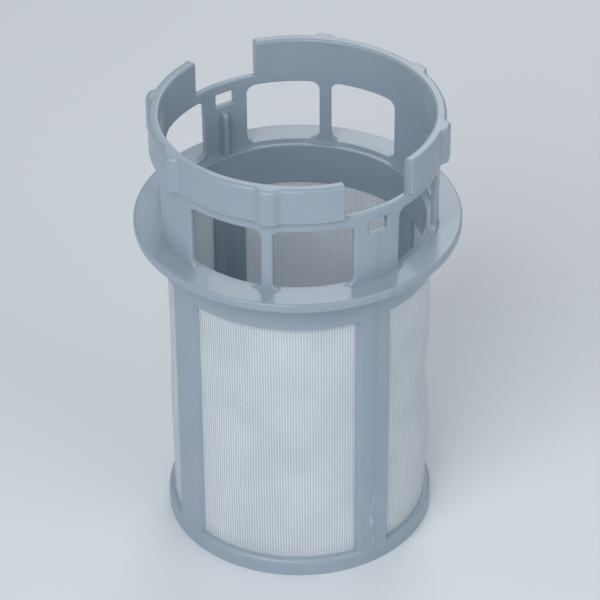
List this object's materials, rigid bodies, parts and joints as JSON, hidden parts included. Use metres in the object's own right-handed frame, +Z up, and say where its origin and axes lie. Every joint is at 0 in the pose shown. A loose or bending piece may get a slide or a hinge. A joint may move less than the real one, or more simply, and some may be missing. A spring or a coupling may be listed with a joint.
{
  "type": "dishwasher filter",
  "caption": "Cylindrical micro-filter for a dishwasher sump: a ribbed plastic frame with a flange and a windowed bayonet crown, moulded round a fine woven mesh sleeve.",
  "frame": {"origin": "centre of the base ring's lower face", "axes": "+Z up the filter's axis towards the crown, -Y towards the front of the picture, +X to its right"},
  "size_m": [0.086, 0.086, 0.125],
  "materials": {
    "grey_plastic": "satin",
    "nylon_mesh": "woven"
  },
  "bodies": {
    "root": {"frame": "grey_plastic", "screen": "nylon_mesh"}
  },
  "joints": []
}
